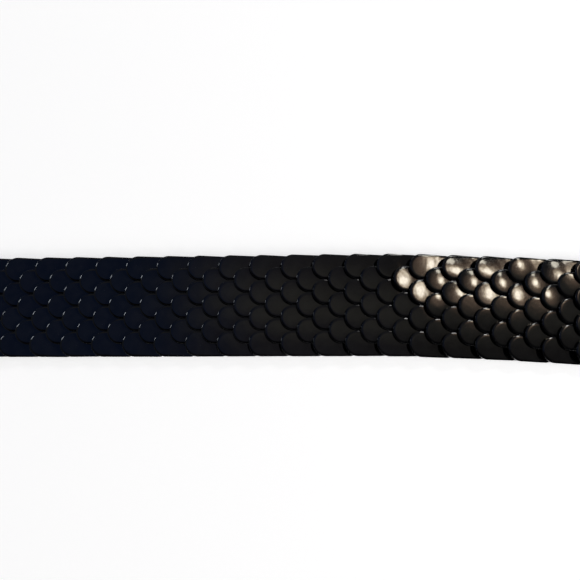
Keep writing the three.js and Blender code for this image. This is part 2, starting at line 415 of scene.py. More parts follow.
@dataclass(frozen=True)
class Enamel(Finish):
    """Black gloss enamel on metal.

    Attributes:
        deep: Colour of the thick enamel.
        thin: Colour where the enamel is thinner.
        bare: Colour of the metal at worn edges.
        dust: Colour of the dust on it.
        wear: Share of an edge that is worn.
        rough: Lowest and highest roughness.
        coat_rough: Roughness of the clear gloss.
        cloud: Grain of the thick and thin places, in millimetres.
        smudge: Grain of the changes in roughness, in millimetres.
        speck: Grain of the dust, in millimetres.
        speck_span: Values of that grain over which dust comes in.
        chip: Grain of the worn places, in millimetres.
        chip_span: Values of that grain over which an edge is worn, where it has no wear.
        chip_gain: How much wear lowers the first of them.
        chip_depth: Their depth, in millimetres.
        ripple: Grain of the enamel's slow ripple, in millimetres.
        ripple_height: Height of the ripple, in millimetres.
        peel: Grain of the fine orange peel, in millimetres.
        peel_height: Height of the peel, in millimetres.
    """

    deep: Colour = (0.0010, 0.0011, 0.0014)
    thin: Colour = (0.0050, 0.0051, 0.0052)
    bare: Colour = (0.042, 0.043, 0.047)
    dust: Colour = (0.035, 0.035, 0.037)
    wear: float = 0.25
    rough: Span = (0.06, 0.11)
    coat_rough: float = 0.045
    cloud: float = 3.1
    smudge: float = 1.1
    speck: float = 0.16
    speck_span: Span = (0.74, 0.78)
    chip: float = 0.45
    chip_span: Span = (0.62, 0.72)
    chip_gain: float = 0.3
    chip_depth: float = 0.012
    ripple: float = 2.6
    ripple_height: float = 0.014
    peel: float = 0.35
    peel_height: float = 0.0006

    def shader(self, desk: NodeDesk) -> bpy.types.NodeSocket:
        """Lays out the enamel, its worn edges, its dust and its uneven gloss.

        Args:
            desk: Desk for the material's nodes.

        Returns:
            The shader.
        """
        place = desk.add("TexCoord").outputs["Object"]
        cloud = desk.ranged(desk.noise(place, self.cloud, 3.0), *NOISE_SPAN, 0.0, 0.6)
        thinness = desk.math("ADD", cloud, desk.math("MULTIPLY", desk.attribute("tone"), 0.5))
        enamel = desk.mixed(thinness, self.deep, self.thin)
        specks = desk.ranged(desk.noise(place, self.speck, 1.0), *self.speck_span)
        dusty = desk.mixed(desk.math("MULTIPLY", specks, 0.5), enamel, self.dust)
        chips_from = self.chip_span[0] - self.wear * self.chip_gain
        chips = desk.ranged(desk.noise(place, self.chip, 3.0, 0.65), chips_from, self.chip_span[1])
        worn = desk.math("MULTIPLY", desk.attribute("rim"), chips)
        ripple = desk.math("MULTIPLY", desk.noise(place, self.ripple, 1.0), self.ripple_height * MM)
        peel = desk.math("MULTIPLY", desk.noise(place, self.peel, 2.0), self.peel_height * MM)
        chipped = desk.math("MULTIPLY", worn, self.chip_depth * MM)
        bump = desk.bump(desk.math("SUBTRACT", desk.math("ADD", ripple, peel), chipped))
        return desk.add(
            "BsdfPrincipled",
            Base_Color=desk.mixed(desk.math("MULTIPLY", worn, 0.8), dusty, self.bare),
            Roughness=desk.ranged(desk.noise(place, self.smudge, 4.0, 0.6), 0.3, 0.75, *self.rough),
            Metallic=desk.math("MULTIPLY", worn, 0.7),
            IOR=1.5,
            Coat_Weight=1.0,
            Coat_Roughness=self.coat_rough,
            Coat_IOR=1.5,
            Normal=bump,
            Coat_Normal=bump,
        ).outputs[0]


@dataclass(frozen=True)
class WovenElastic(Finish):
    """Black ribbed elastic webbing.

    Attributes:
        yarn: Colour on top of the yarns.
        faded: Colour of the yarns where they are paler.
        hollow_shade: Colour between them, painted shade that darkens the weave's hollows.
        rib: Width of two yarns side by side, in millimetres.
        pick: Distance between the cross yarns, in millimetres.
        depth: Depth of the weave, in millimetres.
        rough: Lowest and highest roughness.
        wander: Grain of the yarns' slow drift aside, in millimetres.
        drift: Width of that drift, in millimetres.
        fade: Grain of the paler places, in millimetres.
        fuzz: Grain of the fuzz on the yarns, in millimetres.
    """

    yarn: Colour = (0.016, 0.016, 0.017)
    faded: Colour = (0.026, 0.026, 0.027)
    hollow_shade: Colour = (0.004, 0.004, 0.0045)
    rib: float = 0.56
    pick: float = 0.62
    depth: float = 0.07
    rough: Span = (0.82, 0.95)
    wander: float = 4.0
    drift: float = 0.5
    fade: float = 14.0
    fuzz: float = 0.12

    def shader(self, desk: NodeDesk) -> bpy.types.NodeSocket:
        """Lays out the yarns, the gaps between them with painted shade in the hollows, and their fuzz.

        Args:
            desk: Desk for the material's nodes.

        Returns:
            The shader.
        """
        place = desk.add("TexCoord").outputs["Object"]
        centred = desk.math("SUBTRACT", desk.noise(place, self.wander, 2.0), 0.5)
        around = desk.math("ADD", desk.attribute("around"), desk.math("MULTIPLY", centred, self.drift))
        rib = desk.math("SINE", desk.math("MULTIPLY", around, math.tau / self.rib))
        staggered = desk.math("MULTIPLY", desk.math("SIGN", rib), self.pick / 4)
        along = desk.math("ADD", desk.attribute("along"), staggered)
        pick = desk.math("SINE", desk.math("MULTIPLY", along, math.tau / self.pick))
        thread = desk.math("MULTIPLY", desk.math("ABSOLUTE", rib), desk.ranged(pick, -1.0, 1.0, 0.25, 1.0))
        fuzz = desk.noise(place, self.fuzz, 3.0, 0.7)
        body = desk.math("ADD", desk.math("MULTIPLY", thread, 0.8), desk.math("MULTIPLY", fuzz, 0.2))
        fade = desk.ranged(desk.noise(place, self.fade, 2.0), 0.35, 0.65, 0.0, 0.5)
        return desk.add(
            "BsdfPrincipled",
            # The hollows between the yarns are painted darker as shade, following the same height as the
            # bump.
            Base_Color=desk.mixed(body, self.hollow_shade, desk.mixed(fade, self.yarn, self.faded)),
            Roughness=desk.ranged(fuzz, *NOISE_SPAN, *self.rough),
            Sheen_Weight=0.25,
            Sheen_Roughness=0.4,
            Normal=desk.bump(desk.math("MULTIPLY", body, self.depth * MM)),
        ).outputs[0]


@dataclass(frozen=True)
class PaleBoard(Finish):
    """Matt white board that the belt lies on.

    Attributes:
        colour: Its colour.
        shade: Its slightly darker flecks.
        fleck: Grain of the flecks, in millimetres.
        fleck_height: Their height, in millimetres.
        glow: Light of its own, which keeps the shadows faint.
    """

    colour: Colour = (0.86, 0.86, 0.86)
    shade: Colour = (0.82, 0.82, 0.82)
    fleck: float = 1.4
    fleck_height: float = 0.02
    glow: float = 0.66

    def shader(self, desk: NodeDesk) -> bpy.types.NodeSocket:
        """Lays out the board.

        Args:
            desk: Desk for the material's nodes.

        Returns:
            The shader.
        """
        fleck = desk.noise(desk.add("TexCoord").outputs["Object"], self.fleck, 4.0, 0.6)
        return desk.add(
            "BsdfPrincipled",
            Base_Color=desk.mixed(desk.ranged(fleck, *NOISE_SPAN), self.colour, self.shade),
            Roughness=0.9,
            Emission_Color=(1.0, 1.0, 1.0),
            Emission_Strength=self.glow,
            Normal=desk.bump(desk.math("MULTIPLY", fleck, self.fleck_height * MM), 0.3),
        ).outputs[0]


# The belt


@dataclass(frozen=True)
class BeltLine:
    """The belt's course on the surface that it lies on, in millimetres.

    Attributes:
        rows: Number of scale rows.
        row_spacing: Distance between rows.
        pitch: Distance between scales in a row.
        columns: Scales in an outer row.
        middle_tip: Station of one tip near the middle.
        columns_before_middle: Scales before it.
        last_scale_length: What shows of the last scale before it ends in the clasp.
        sweep_start: Station where the sideways sweep begins.
        sweep_length: Its length.
        sweep_offset: How far it takes the belt aside.
        tip_to_clasp: Distance from the first tips to the hook plate.
        tails_in_clasp: How far the last scales run into the eye plate.
        lift: Height of the band's ends, which lie in the clasp plates.
        lift_run: Length over which the band comes down from them.
        clasp_length: Length of a clasp plate.
        reach: Length of the hook or eye before its plate.
    """

    rows: int = 7
    row_spacing: float = 4.8
    pitch: float = 11.8
    columns: int = 50
    middle_tip: float = -4.4
    columns_before_middle: int = 25
    last_scale_length: float = 12.0
    sweep_start: float = 22.0
    sweep_length: float = 148.0
    sweep_offset: float = 5.5
    tip_to_clasp: float = 1.5
    tails_in_clasp: float = 2.0
    lift: float = 0.8
    lift_run: float = 18.0
    clasp_length: float = 16.0
    reach: float = 14.0

    @property
    def first_tip(self) -> float:
        """Station of the first tips."""
        return self.middle_tip - self.columns_before_middle * self.pitch

    @property
    def field_end(self) -> float:
        """Station where the last scales end."""
        return self.first_tip + (self.columns - 1) * self.pitch + self.last_scale_length

    @property
    def hook_edge(self) -> float:
        """Station of the hook plate's inner edge."""
        return self.first_tip - self.tip_to_clasp

    @property
    def eye_edge(self) -> float:
        """Station of the eye plate's inner edge."""
        return self.field_end - self.tails_in_clasp

    @property
    def start(self) -> float:
        """Station of the hook's end."""
        return self.hook_edge - self.clasp_length - self.reach

    @property
    def end(self) -> float:
        """Station of the eye's end."""
        return self.eye_edge + self.clasp_length + self.reach

    def tip_at(self, half: int) -> float:
        """Station of the tips in a half column."""
        return self.first_tip + half * self.pitch / 2

    def middle_of(self, row: int) -> float:
        """Distance of a row's middle from the centre line."""
        return ((self.rows - 1) / 2 - row) * self.row_spacing

    def lift_at(self, along: Points) -> Points:
        """Height of the band's underside at stations."""
        inward = np.minimum(along - self.hook_edge, self.eye_edge - along)
        return self.lift * (1 + np.cos(np.pi * np.clip(inward / self.lift_run, 0, 1))) / 2

    def course_at(self, along: Points) -> tuple[Points, Points]:
        """Sideways place and turn of the centre line.

        Args:
            along: Stations.

        Returns:
            The place aside, and the angle in radians.
        """
        share = np.clip((along - self.sweep_start) / self.sweep_length, 0, 1)
        aside = self.sweep_offset * np.cos(np.pi * share) / 2
        slope = -self.sweep_offset * np.pi * np.sin(np.pi * share) / (2 * self.sweep_length)
        return aside, np.arctan(slope)

    def on_belt(self, along: Points, across: Points, above: Points) -> Points:
        """Places given along, across and above the belt.

        Args:
            along: Stations.
            across: Distances from the centre line.
            above: Heights over the band's underside.

        Returns:
            Points in the frame, in millimetres.
        """
        aside, turn = self.course_at(along)
        x = along - across * np.sin(turn) - (self.start + self.end) / 2
        return np.stack([x, aside + across * np.cos(turn), above + self.lift_at(along)], axis=-1)


@dataclass(frozen=True)
class Seat:
    """How one scale sits and is pressed.

    Attributes:
        tilt: How far its tip is raised out of line, in degrees.
        roll: How far its face leans towards the belt's upper edge, in degrees.
        dome: Height of its crown over the plate, in millimetres.
        arch: How far its sides hang lower than its middle line, in millimetres.
    """

    tilt: float
    roll: float
    dome: float
    arch: float = 0.0


@dataclass(frozen=True)
class Glint:
    """Where a scale mirrors the warm lamp to the camera, measured from the middle of its round end.

    Beyond the round end it is where the glint would lie if the crown's curve went on.

    Attributes:
        along: Distance towards the tail, in millimetres.
        across: Distance towards the belt's upper edge, in millimetres.
        dome: Height of the scale's crown over the plate, in millimetres.
        arch: How far the scale's sides hang lower than its middle line, in millimetres.
    """

    along: float
    across: float
    dome: float
    arch: float = 0.0


# Glints by row and half column. Most lie about where the photograph has them. Five lie off the round end,
# which then shows little or none of the lamp. The seats are worked out from them.
GLINTS: dict[tuple[int, int], Glint] = {
    (0, 58): Glint(6.6, 1.3, 0.045),
    (0, 60): Glint(0.6, -1.5, 0.04, 0.10),
    (0, 62): Glint(-0.3, -1.5, 0.04, 0.10),
    (0, 64): Glint(-0.3, 2.3, 0.12),
    (0, 66): Glint(2.3, -2.0, 0.10, 0.02),
    (1, 57): Glint(-1.4, -1.1, 0.05),
    (1, 59): Glint(1.2, -0.6, 0.13),
    (1, 61): Glint(1.3, -0.9, 0.13),
    (1, 63): Glint(-0.8, -0.8, 0.13),
    (1, 65): Glint(-1.1, -0.2, 0.13),
    (1, 67): Glint(0.0, 6.0, 0.10),
    (2, 58): Glint(-1.5, 1.0, 0.04),
    (2, 60): Glint(2.7, 0.0, 0.10),
    (2, 62): Glint(1.0, 0.1, 0.055),
    (2, 64): Glint(-1.6, 0.3, 0.08),
    (2, 66): Glint(-3.0, 1.1, 0.14),
    (3, 59): Glint(-0.3, 4.4, 0.13),
    (3, 61): Glint(0.8, 12.2, 0.05),
    (3, 63): Glint(0.8, 13.2, 0.05),
    (3, 65): Glint(0.0, 13.2, 0.05),
}

# Scales whose tips are raised or dipped one by one, by row and half column.
SEATS: dict[tuple[int, int], Seat] = {
    (2, 52): Seat(2.2, 0.0, 0.05),
    (3, 57): Seat(-1.6, 0.0, 0.05),
    **dict.fromkeys(((1, 55), (3, 55), (4, 56), (5, 55), (6, 56)), Seat(-1.9, 0.0, 0.05)),
}


@dataclass(frozen=True)
class ScaleShape:
    """What tells one scale's pressing from another's, in millimetres.

    Attributes:
        length: Length without its foot.
        foot: Length of its foot.
        dome: Height of its crown over the plate.
        arch: How far its sides hang lower than its middle line.
    """

    length: float
    foot: float
    dome: float
    arch: float


@dataclass
class ScaleRows:
    """The enamelled scales, one piece for each row.

    Attributes:
        line: The belt's course.
        camera: Place of the camera, in millimetres.
        lamp: Place of the lamp that the aimed scales mirror, in millimetres.
        half_width: Half the width of a scale at its shoulders.
        tail_half: Half the width of its tail.
        tail_power: Power that squares the tail's round end.
        length: Length of a scale without its foot.
        foot: Length of the flat foot behind it, which lies under the next scale.
        plate: Thickness of the stamped plate.
        dome: Height of the crown over the plate.
        bend_width: Width of the border that is bent down.
        bend_drop: How far it is bent down at the edge.
        edge_radius: Radius of the sharp edge.
        base: Height of the tails over the band's underside.
        tail_room: How far a tail may sink before its scale is raised.
        tip_rise: How much higher the tips are.
        head_steps: Straight pieces round the tip.
        side_steps: Pieces along each side.
        tail_steps: Straight pieces round the tail.
        face_insets: Distances of the face's rings from the outline.
        back_insets: Distances of the back's rings from the outline.
        worn_width: Width of the worn border on the face.
        wobble: Largest tilt, roll and turn of a scale out of line, in degrees.
        glints: Scales that are aimed at the lamp, by row and half column.
        seats: Scales that are tilted one by one, by row and half column.
        seed: Start of the random numbers.
    """

    line: BeltLine
    camera: Points
    lamp: Points
    half_width: float = 4.72
    tail_half: float = 4.63
    tail_power: float = 0.3
    length: float = 14.0
    foot: float = 1.6
    plate: float = 0.38
    dome: float = 0.05
    bend_width: float = 0.62
    bend_drop: float = 0.24
    edge_radius: float = 0.025
    base: float = 1.55
    tail_room: float = 0.2
    tip_rise: float = 3.0
    head_steps: int = 30
    side_steps: int = 7
    tail_steps: int = 12
    face_insets: tuple[float, ...] = (0.12, 0.24, 0.36, 0.5, 0.62, 1.2, 2.0, 2.9, 3.8)
    back_insets: tuple[float, ...] = (0.62, 0.3, 0.0)
    worn_width: float = 0.5
    wobble: tuple[float, float, float] = (0.35, 0.5, 0.7)
    glints: dict[tuple[int, int], Glint] = field(default_factory=lambda: GLINTS)
    seats: dict[tuple[int, int], Seat] = field(default_factory=lambda: SEATS)
    seed: int = 11

    def outline(self, length: float) -> tuple[Points, Points]:
        """Outline of a scale seen from above, from its left shoulder round the tip.

        Args:
            length: Length of the scale with its foot.

        Returns:
            Points on its middle line, and what leads from each to the outline.
        """
        spine, reach = [], []
        for angle in np.radians(np.linspace(90, 270, self.head_steps + 1)):
            spine.append((self.half_width, 0.0))
            reach.append((self.half_width * math.cos(angle), self.half_width * math.sin(angle)))
        ends = [self.half_width, length - self.tail_half]
        straight = np.linspace(*ends, self.side_steps + 1)[1:-1]
        widths = np.interp(straight, ends, [self.half_width, self.tail_half])
        for behind, width in zip(straight, widths):
            spine.append((behind, 0.0))
            reach.append((0.0, -width))
        for angle in np.radians(np.linspace(-90, 90, self.tail_steps + 1)):
            spine.append((length - self.tail_half, 0.0))
            forward = max(0.0, math.cos(angle)) ** self.tail_power
            beside = abs(math.sin(angle)) ** self.tail_power * math.copysign(1.0, math.sin(angle))
            reach.append((self.tail_half * forward, self.tail_half * beside))
        for behind, width in zip(straight[::-1], widths[::-1]):
            spine.append((behind, 0.0))
            reach.append((0.0, width))
        return np.array(spine), np.array(reach)

    def template(self, shape: ScaleShape) -> Skin:
        """One scale, with its tip at the origin and its tail towards +X.

        Args:
            shape: Its shape.

        Returns:
            Its closed surface, with a domed face, a border bent down and a hollow back.
        """
        spine, reach = self.outline(shape.length + shape.foot)
        far = np.hypot(reach[:, 0], reach[:, 1])

        def ring(inset: float, above: float) -> Points:
            """A ring on the bent plate.

            Args:
                inset: Its distance from the outline.
                above: Its height over the plate's underside.

            Returns:
                Its points.
            """
            share = np.clip(1 - inset / far, 0, 1)
            places = spine + reach * share[:, None]
            tail = np.clip((places[:, 0] - self.half_width) / (shape.length - self.half_width), 0, 1)
            inside = min(1.0, inset / self.bend_width)
            bent = self.bend_drop * (1 - inside * (3 - inside**2) / 2)
            foot_rise = self.tip_rise / self.length * np.maximum(0.0, places[:, 0] - shape.length)
            across = (places[:, 1] / self.half_width) ** 2
            crown = shape.dome * np.maximum(0.0, 1 - (places[:, 0] / self.half_width - 1) ** 2 - across)
            hanging = (bent + shape.arch * across) * (1 - tail)
            return np.column_stack([places, above + crown - hanging + foot_rise])

        back = [ring(inset, 0.0) for inset in (self.half_width, *self.back_insets)]
        turns = rounding(self.edge_radius, (0.0, 45.0, 90.0))
        edge = [ring(inset, self.plate - short) for inset, short in turns]
        face = [ring(inset, self.plate) for inset in (*self.face_insets, self.half_width)]
        rim = [0.0] * (len(back) - 1) + [0.6] + [1.0] * len(edge)
        rim += [max(0.0, self.worn_width - inset) for inset in self.face_insets] + [0.0]
        return loft(back + edge + face, rim, capped=False)

    def aimed(self, row: int, half: int, glint: Glint) -> Seat:
        """Works out the seat that puts a scale's glint in its place.

        A face mirrors the lamp to the camera where its normal lies halfway between the two. The crown and
        the arch already lean the face there, and the seat adds what is missing.

        Args:
            row: Its row.
            half: Its half column.
            glint: Its glint.

        Returns:
            The seat, to a tenth of a degree.
        """
        crown = np.array(self.line.tip_at(half) + self.half_width)
        slope = self.tip_rise / self.length
        top = self.base + self.tip_rise - slope * self.half_width + self.plate + self.dome
        middle = self.line.on_belt(crown, np.array(self.line.middle_of(row)), np.array(top))
        _, turn = self.line.course_at(crown)
        to_camera, to_lamp = self.camera - middle, self.lamp - middle
        halfway = to_camera / np.linalg.norm(to_camera) + to_lamp / np.linalg.norm(to_lamp)
        x, y, z = halfway / np.linalg.norm(halfway)
        ahead, aside = x * np.cos(turn) + y * np.sin(turn), y * np.cos(turn) - x * np.sin(turn)
        lean_along = math.atan(2 * glint.dome * glint.along / self.half_width**2)
        lean_across = math.atan(2 * (glint.dome + glint.arch) * glint.across / self.half_width**2)
        tilt = math.degrees(math.atan2(ahead, z) - math.atan(slope) - lean_along)
        roll = math.degrees(math.asin(aside) - lean_across)
        return Seat(round(tilt, 1), round(roll, 1), glint.dome, glint.arch)

    def own_seat(self, row: int, half: int) -> Seat | None:
        """Seat of a scale that isn't left to chance.

        Args:
            row: Its row.
            half: Its half column.

        Returns:
            The seat, or None for a scale that chance seats.
        """
        if (row, half) in self.glints:
            return self.aimed(row, half, self.glints[row, half])
        return self.seats.get((row, half))

    def placed(self, skin: Skin, row: int, half: int, length: float, wobble: Points) -> Points:
        """Sets one scale on the belt.

        Args:
            skin: The scale.
            row: Its row, from the +Y side.
            half: Its half column.
            length: Its length.
            wobble: Its own tilt, roll and turn in degrees.

        Returns:
            Its points in the frame.
        """
        line = self.line
        tip = line.tip_at(half)
        crown = tip + self.half_width
        slope = self.tip_rise / self.length
        top = self.base + self.tip_rise
        tip_height = top + float(line.lift_at(np.array(tip)))
        tail_height = top - slope * length + float(line.lift_at(np.array(tip + length)))
        rise = (tip_height - tail_height) / length
        _, turn = line.course_at(np.array(crown))
        tilt = math.atan(rise) + math.radians(wobble[0])
        roll = math.radians(wobble[1])
        spin = float(turn) + math.radians(wobble[2])
        turned = Matrix.Rotation(spin, 3, "Z") @ Matrix.Rotation(tilt, 3, "Y")
        turned = turned @ Matrix.Rotation(-roll, 3, "X")
        local = skin.points - np.array([self.half_width, 0.0, 0.0])
        middle = line.on_belt(np.array(crown), np.array(line.middle_of(row)), np.array(0.0))
        sunk = (length - self.half_width) * math.sin(math.radians(wobble[0]))
        middle[2] = tip_height - rise * self.half_width + max(0.0, sunk - self.tail_room)
        return local @ np.array(turned).T + middle

    def build(self) -> list[bpy.types.Object]:
        """Makes the rows.

        Returns:
            One object for each row.
        """
        random = np.random.default_rng(self.seed)
        stamped: dict[ScaleShape, Skin] = {}
        rows = []
        last = 2 * (self.line.columns - 1)
        for row in range(self.line.rows):
            skins, tones = [], []
            for half in range(row % 2, last + 1, 2):
                tilt, roll, spin = random.uniform(-1, 1, 3) * self.wobble
                seat = self.own_seat(row, half) or Seat(tilt, roll, self.dome)
                if half == last:
                    shape = ScaleShape(self.line.last_scale_length, 0.0, seat.dome, seat.arch)
                else:
                    shape = ScaleShape(self.length, self.foot, seat.dome, seat.arch)
                if shape not in stamped:
                    stamped[shape] = self.template(shape)
                skin = stamped[shape]
                wobble = np.array([seat.tilt, seat.roll, spin])
                points = self.placed(skin, row, half, shape.length, wobble)
                skins.append(Skin(points, skin.faces, skin.rim))
                tones.append(np.full(len(points), random.uniform(0, 1)))
            floats = {"tone": np.concatenate(tones)}
            rows.append(object_of(f"scale_row_{row + 1}", joined(skins), None, floats))
        return rows

    def dress(self, rows: list[bpy.types.Object], material: bpy.types.Material) -> None:
        """Gives the rows their finish and ties them to the model.

        Args:
            rows: The row objects.
            material: The enamel.
        """
        for made in rows:
            made.data.materials.append(material)
            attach(made, "root")
            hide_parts("scale_field")


@dataclass
class ElasticBand:
    """The ribbed elastic that carries the scales.

    Attributes:
        line: The belt's course.
        width: Width of the band.
        thickness: Its thickness.
        edge_radius: Radius of its rounded edges.
        edge_steps: Straight pieces round an edge.
        ribs: Number of ribs across it.
        rib_steps: Straight pieces in a rib.
        rib_height: Height of a rib.
        gripped: Length held in each clasp plate.
        step: Distance between stations.
        sharp_from: Angle in degrees from which an edge is drawn sharp.
    """

    line: BeltLine
    width: float = 37.4
    thickness: float = 1.3
    edge_radius: float = 0.55
    edge_steps: int = 8
    ribs: int = 32
    rib_steps: int = 4
    rib_height: float = 0.05
    gripped: float = 10.0
    step: float = 4.0
    sharp_from: float = 60.0

    def section(self) -> tuple[Points, Points]:
        """Section of the band.

        Returns:
            Its points, and the distance round the section at each.
        """
        flat = self.width - 2 * self.edge_radius
        across = np.linspace(-flat / 2, flat / 2, self.ribs * self.rib_steps + 1)
        groove = self.rib_height * (1 - np.abs(np.cos(np.pi * self.ribs * (across / flat + 0.5)))) ** 2
        top = np.column_stack([across[::-1], self.thickness - groove[::-1]])
        bottom = np.column_stack([across, groove])
        angles = np.radians(np.linspace(-90, 90, self.edge_steps + 1))[1:-1]
        half = self.thickness / 2
        beside = flat / 2 + self.edge_radius * np.cos(angles)
        right = np.column_stack([beside, half + half * np.sin(angles)])
        left = right[::-1] * np.array([-1.0, 1.0])
        points = np.concatenate([bottom, right, top, left])
        steps = np.hypot(*np.diff(points, axis=0).T)
        return points, np.concatenate([[0.0], np.cumsum(steps)])

    def build(self) -> bpy.types.Object:
        """Makes the band.

        Returns:
            The object.
        """
        start = self.line.hook_edge - self.gripped
        end = self.line.eye_edge + self.gripped
        stations = np.linspace(start, end, int((end - start) / self.step) + 1)
        section, around = self.section()
        along = np.repeat(stations, len(section))
        points = self.line.on_belt(along, *np.tile(section, (len(stations), 1)).T)
        faces = strip_faces(len(section), len(stations))
        skin = Skin(points, faces, np.zeros(len(points))).outward()
        floats = {"along": along, "around": np.tile(around, len(stations))}
        return object_of("elastic_webbing", skin, self.sharp_from, floats)

    def dress(self, made: bpy.types.Object, material: bpy.types.Material) -> None:
        """Gives the band its weave and ties it to the model.

        Args:
            made: The band.
            material: The weave.
        """
        made.data.materials.append(material)
        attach(made, "root")
        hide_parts("elastic_band")


@dataclass
class ClaspPlate:
    """The cast plate that both clasp halves share, with a pocket for the band.

    Attributes:
        pocket_height: Height of the pocket.
        width: Width across the belt.
        length: Length along it.
        height: Height.
        corner: Radius of the long edges.
        corner_share: How much that radius shrinks as a loop round the plate does.
        corner_steps: Straight pieces in each corner.
        side_steps: Straight pieces in each long side.
        ease: Radius of the rounded back edge.
        back_border: Width of the border inside it.
        back_corners: Corner radii at the border's inner and outer side.
        mouth_ease: Radius of the rounded edge round the pocket's mouth.
        mouth_bevel: Depth and width of the bevel inside the mouth.
        support: Distance from a rounded edge to where the sides are straight.
        floor: Thickness under the pocket.
        pocket_width: Width of the pocket.
        pocket_depth: Its depth.
        pocket_corner: Radius of its corners.
    """

    pocket_height: float
    width: float = 40.2
    length: float = 16.0
    height: float = 4.8
    corner: float = 0.7
    corner_share: float = 0.4
    corner_steps: int = 5
    side_steps: int = 12
    ease: float = 0.6
    back_border: float = 0.5
    back_corners: Span = (0.3, 0.45)
    mouth_ease: float = 0.2
    mouth_bevel: Span = (0.12, 0.08)
    support: float = 0.4
    floor: float = 0.65
    pocket_width: float = 38.7
    pocket_depth: float = 11.0
    pocket_corner: float = 0.12

    def outer(self, x: float, shrink: float, radius: float) -> Points:
        """A loop round the plate.

        Args:
            x: Its distance from the plate's back.
            shrink: How far it lies inside the plate's sides.
            radius: Radius of its corners.

        Returns:
            Its points.
        """
        width, height = self.width - 2 * shrink, self.height - 2 * shrink
        flat = rounded_rectangle(width, height, radius, self.corner_steps, self.side_steps)
        return np.column_stack([np.full(len(flat), x), flat[:, 0], flat[:, 1] + self.height / 2])

    def inner(self, x: float, grow: float) -> Points:
        """A loop round the pocket.

        Args:
            x: Its distance from the plate's back.
            grow: How far it lies outside the pocket's sides.

        Returns:
            Its points.
        """
        width, height = self.pocket_width + 2 * grow, self.pocket_height + 2 * grow
        flat = rounded_rectangle(width, height, self.pocket_corner, self.corner_steps, self.side_steps)
        middle = self.floor + self.pocket_height / 2
        return np.column_stack([np.full(len(flat), x), flat[:, 0], flat[:, 1] + middle])

    def skin(self) -> Skin:
        """The plate, with its back at x = 0 and its pocket open to +X.

        Returns:
            Its surface.
        """
        border_corner, back_corner = self.back_corners
        bevel_depth, bevel_width = self.mouth_bevel
        loops = [
            self.outer(0.0, self.ease + self.back_border, border_corner),
            self.outer(0.0, self.ease, back_corner),
        ]
        rim = [0.0, 0.5]
        for x, shrink in rounding(self.ease, ROUND_STEPS[1:]):
            loops.append(self.outer(x, shrink, self.corner - self.corner_share * shrink))
            rim.append(0.9)
        for x in (self.ease + self.support, self.length - self.mouth_ease - self.support):
            loops.append(self.outer(x, 0.0, self.corner))
            rim.append(0.2)
        for shrink, short in rounding(self.mouth_ease, (0.0, 30.0, 60.0, 90.0)):
            loops.append(self.outer(self.length - short, shrink, self.corner - self.corner_share * shrink))
            rim.append(0.9)
        loops.append(self.inner(self.length, bevel_width))
        loops.append(self.inner(self.length - bevel_depth, 0.0))
        loops.append(self.inner(self.length - self.pocket_depth, 0.0))
        rim.extend([0.6, 0.3, 0.0])
        return loft(loops, rim)


@dataclass
class HookHalf:
    """The clasp half that ends in a hook.

    Attributes:
        line: The belt's course.
        plate: Its plate.
        width: Width of the hook.
        thickness: Its thickness.
        corner: Radius of its long edges.
        corner_share: How much that radius shrinks as the hook does at its point.
        least_corner: Least radius of those edges.
        mouth: Distance from the plate to the hook's point.
        point: Radius of the rounded point.
        join: How far the hook's root runs into the plate.
        tone: Tone of its enamel, from 0 to 1.
    """

    line: BeltLine
    plate: ClaspPlate = field(default_factory=lambda: ClaspPlate(pocket_height=1.6))
    width: float = 20.0
    thickness: float = 1.15
    corner: float = 0.42
    corner_share: float = 0.8
    least_corner: float = 0.02
    mouth: float = 5.5
    point: float = 0.5
    join: float = 1.0
    tone: float = 0.4

    def section(self, x: float, z: float, turn: float, shrink: float) -> Points:
        """Section of the hook at one place on its course.

        Args:
            x: Place along the belt.
            z: Height of the section's middle.
            turn: How far the course has turned, in radians.
            shrink: How far the section lies inside the full one.

        Returns:
            Its points.
        """
        radius = max(self.corner - shrink * self.corner_share, self.least_corner)
        width, height = self.width - 2 * shrink, self.thickness - 2 * shrink
        flat = rounded_rectangle(width, height, radius, segments=4, split=8)
        return np.column_stack([
            x - flat[:, 1] * math.sin(turn),
            flat[:, 0],
            z + flat[:, 1] * math.cos(turn),
        ])

    def hook(self) -> Skin:
        """The bent tongue, from its root in the plate to its point.

        Returns:
            Its surface.
        """
        high = self.plate.height - self.thickness / 2
        low = self.thickness / 2
        radius = (high - low) / 2
        bend = -self.line.reach + radius + self.thickness / 2
        loops = [self.section(x, high, 0.0, 0.0) for x in np.linspace(self.join, bend, 6)]
        for turn in np.radians(np.linspace(0, 180, 15)[1:]):
            x = bend - radius * math.sin(turn)
            loops.append(self.section(x, high - radius * (1 - math.cos(turn)), turn, 0.0))
        loops.append(self.section(-self.mouth - self.point, low, math.pi, 0.0))
        rim = [0.35] * len(loops)
        for shrink, short in rounding(self.point, ROUND_STEPS[1:]):
            loops.append(self.section(-self.mouth - short, low, math.pi, shrink))
            rim.append(0.9)
        return loft(loops, rim)

    def build(self) -> bpy.types.Object:
        """Makes the clasp half in its place at the belt's start.

        Returns:
            The object.
        """
        skin = joined([self.plate.skin(), self.hook()])
        middle = self.line.on_belt(np.array(self.line.start), np.array(0.0), np.array(0.0))
        skin.points = skin.points + np.array([middle[0] + self.line.reach, middle[1], 0.0])
        return object_of("hook_half", skin, CAST_SHARP_FROM, {"tone": np.full(len(skin.points), self.tone)})

    def dress(self, made: bpy.types.Object, material: bpy.types.Material) -> None:
        """Gives the hook half its enamel and ties it to the model."""
        dress_clasp(made, material, "clasp_hook")


